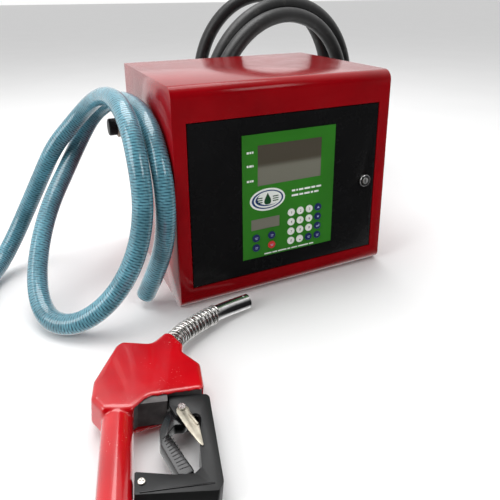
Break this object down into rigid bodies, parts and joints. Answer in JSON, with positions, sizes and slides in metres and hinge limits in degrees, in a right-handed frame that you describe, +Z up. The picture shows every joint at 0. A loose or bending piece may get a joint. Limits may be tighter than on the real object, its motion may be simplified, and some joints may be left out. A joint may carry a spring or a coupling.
{
  "type": "fuel transfer pump",
  "caption": "Boxed transfer pump with a hinged keypad door, a side suction fitting, a clear suction hose, a coiled delivery hose and a lever nozzle.",
  "frame": {"origin": "centre of the four bolt holes in the cabinet's base, on its underside", "axes": "+Z up; the door faces -Y; the suction fitting is on the -X side"},
  "size_m": [1.0609, 1.0996, 0.5153],
  "materials": {
    "red_paint": "gloss",
    "black_paint": "semi-gloss",
    "zinc_steel": "satin",
    "bare_steel": "polished",
    "chrome": "polished",
    "green_film": "satin",
    "display": "gloss",
    "circuit_board": "satin",
    "black_plastic": "satin",
    "red_plastic": "gloss",
    "cast_iron": "matte",
    "grey_paint": "satin",
    "cast_aluminium": "matte",
    "blue_hose": "gloss",
    "black_rubber": "satin",
    "white_key": "satin",
    "blue_key": "satin",
    "red_key": "satin"
  },
  "bodies": {
    "cabinet": {"cabinet_shell": "red_paint", "rear_panel": "red_paint", "panel_screws": "zinc_steel", "equipment_plate": "zinc_steel", "hinge_brackets": "zinc_steel", "inlet_fitting": "zinc_steel", "inlet_plug": "black_plastic", "inlet_pipe": "zinc_steel", "pump_body": "cast_iron", "pump_cover": "cast_iron", "pump_motor": "grey_paint", "transfer_pipe": "zinc_steel", "meter_body": "cast_aluminium", "outlet_elbow": "zinc_steel", "cable_gland": "black_plastic", "suction_hose": "blue_hose", "delivery_hose": "black_rubber", "hose_ferrules": "zinc_steel"},
    "door": {"door_panel": "black_paint", "hinge_pins": "zinc_steel", "door_gasket": "black_rubber", "lock_barrel": "chrome", "lock_nut": "zinc_steel", "control_overlay": "green_film", "main_display": "display", "preset_display": "display", "control_board": "circuit_board"},
    "lock_core": {"lock_plug": "chrome", "lock_cam": "zinc_steel"},
    "rotor": {"pump_rotor": "bare_steel"},
    "wheel": {"meter_wheel": "black_plastic"},
    "nozzle": {"nozzle_body": "cast_aluminium", "nozzle_cover": "red_plastic", "nozzle_spout": "bare_steel", "spout_spring": "bare_steel", "lever_guard": "black_plastic", "lever_pin": "bare_steel"},
    "lever": {"nozzle_lever": "black_plastic"},
    "latch": {"latch_plate": "zinc_steel"},
    "valve": {"valve_stem": "bare_steel"},
    "button_1": {"key_1": "white_key"},
    "button_2": {"key_2": "white_key"},
    "button_3": {"key_3": "white_key"},
    "button_up": {"key_up": "blue_key"},
    "button_4": {"key_4": "white_key"},
    "button_5": {"key_5": "white_key"},
    "button_6": {"key_6": "white_key"},
    "button_down": {"key_down": "blue_key"},
    "button_7": {"key_7": "white_key"},
    "button_8": {"key_8": "white_key"},
    "button_9": {"key_9": "white_key"},
    "button_enter": {"key_enter": "blue_key"},
    "button_0": {"key_0": "white_key"},
    "button_point": {"key_point": "white_key"},
    "button_clear": {"key_clear": "blue_key"},
    "button_total": {"key_total": "blue_key"},
    "button_litre": {"key_litre": "blue_key"},
    "button_price": {"key_price": "blue_key"},
    "button_preset": {"key_preset": "blue_key"},
    "button_stop": {"key_stop": "red_key"}
  },
  "joints": [
    {"name": "door_hinge", "type": "hinge", "parent": "cabinet", "child": "door", "pos_m": [-0.171, -0.1495, 0.175], "axis": [0, 0, -1], "range_deg": [0, 95]},
    {"name": "lock_turn", "type": "hinge", "parent": "door", "child": "lock_core", "pos_m": [0.154, -0.155, 0.173], "axis": [0, -1, 0], "range_deg": [0, 90]},
    {"name": "rotor_spin", "type": "hinge", "parent": "cabinet", "child": "rotor", "pos_m": [-0.15, 0.096, 0.085], "axis": [1, 0, 0], "continuous": true},
    {"name": "wheel_spin", "type": "hinge", "parent": "cabinet", "child": "wheel", "pos_m": [-0.07, 0.07, 0.24], "axis": [0, 1, 0], "continuous": true},
    {"name": "nozzle_lift", "type": "slide", "parent": "cabinet", "child": "nozzle", "axis": [0, 0, 1], "range_m": [0, 0.36]},
    {"name": "lever_squeeze", "type": "hinge", "parent": "nozzle", "child": "lever", "pos_m": [-0.27589, -0.39252, 0.02344], "axis": [-0.0849, 0.0196, -0.9962], "range_deg": [0, 22], "stiffness_Nm_per_rad": 3},
    {"name": "latch_turn", "type": "hinge", "parent": "nozzle", "child": "latch", "pos_m": [-0.27589, -0.39252, 0.02344], "axis": [-0.0849, 0.0196, -0.9962], "range_deg": [0, 30], "stiffness_Nm_per_rad": 0.05},
    {"name": "valve_lift", "type": "slide", "parent": "nozzle", "child": "valve", "axis": [0.225, 0.9744, 0], "range_m": [0, 0.0055]},
    {"name": "press_1", "type": "slide", "parent": "door", "child": "button_1", "axis": [0, 1, 0], "range_m": [0, 0.0006], "stiffness_N_per_m": 400},
    {"name": "press_2", "type": "slide", "parent": "door", "child": "button_2", "axis": [0, 1, 0], "range_m": [0, 0.0006], "stiffness_N_per_m": 400},
    {"name": "press_3", "type": "slide", "parent": "door", "child": "button_3", "axis": [0, 1, 0], "range_m": [0, 0.0006], "stiffness_N_per_m": 400},
    {"name": "press_up", "type": "slide", "parent": "door", "child": "button_up", "axis": [0, 1, 0], "range_m": [0, 0.0006], "stiffness_N_per_m": 400},
    {"name": "press_4", "type": "slide", "parent": "door", "child": "button_4", "axis": [0, 1, 0], "range_m": [0, 0.0006], "stiffness_N_per_m": 400},
    {"name": "press_5", "type": "slide", "parent": "door", "child": "button_5", "axis": [0, 1, 0], "range_m": [0, 0.0006], "stiffness_N_per_m": 400},
    {"name": "press_6", "type": "slide", "parent": "door", "child": "button_6", "axis": [0, 1, 0], "range_m": [0, 0.0006], "stiffness_N_per_m": 400},
    {"name": "press_down", "type": "slide", "parent": "door", "child": "button_down", "axis": [0, 1, 0], "range_m": [0, 0.0006], "stiffness_N_per_m": 400},
    {"name": "press_7", "type": "slide", "parent": "door", "child": "button_7", "axis": [0, 1, 0], "range_m": [0, 0.0006], "stiffness_N_per_m": 400},
    {"name": "press_8", "type": "slide", "parent": "door", "child": "button_8", "axis": [0, 1, 0], "range_m": [0, 0.0006], "stiffness_N_per_m": 400},
    {"name": "press_9", "type": "slide", "parent": "door", "child": "button_9", "axis": [0, 1, 0], "range_m": [0, 0.0006], "stiffness_N_per_m": 400},
    {"name": "press_enter", "type": "slide", "parent": "door", "child": "button_enter", "axis": [0, 1, 0], "range_m": [0, 0.0006], "stiffness_N_per_m": 400},
    {"name": "press_0", "type": "slide", "parent": "door", "child": "button_0", "axis": [0, 1, 0], "range_m": [0, 0.0006], "stiffness_N_per_m": 400},
    {"name": "press_point", "type": "slide", "parent": "door", "child": "button_point", "axis": [0, 1, 0], "range_m": [0, 0.0006], "stiffness_N_per_m": 400},
    {"name": "press_clear", "type": "slide", "parent": "door", "child": "button_clear", "axis": [0, 1, 0], "range_m": [0, 0.0006], "stiffness_N_per_m": 400},
    {"name": "press_total", "type": "slide", "parent": "door", "child": "button_total", "axis": [0, 1, 0], "range_m": [0, 0.0006], "stiffness_N_per_m": 400},
    {"name": "press_litre", "type": "slide", "parent": "door", "child": "button_litre", "axis": [0, 1, 0], "range_m": [0, 0.0006], "stiffness_N_per_m": 400},
    {"name": "press_price", "type": "slide", "parent": "door", "child": "button_price", "axis": [0, 1, 0], "range_m": [0, 0.0006], "stiffness_N_per_m": 400},
    {"name": "press_preset", "type": "slide", "parent": "door", "child": "button_preset", "axis": [0, 1, 0], "range_m": [0, 0.0006], "stiffness_N_per_m": 400},
    {"name": "press_stop", "type": "slide", "parent": "door", "child": "button_stop", "axis": [0, 1, 0], "range_m": [0, 0.0006], "stiffness_N_per_m": 400}
  ],
  "couplings": [
    {"joint": "valve_lift", "follows": "lever_squeeze", "m_per_rad": 0.013}
  ]
}
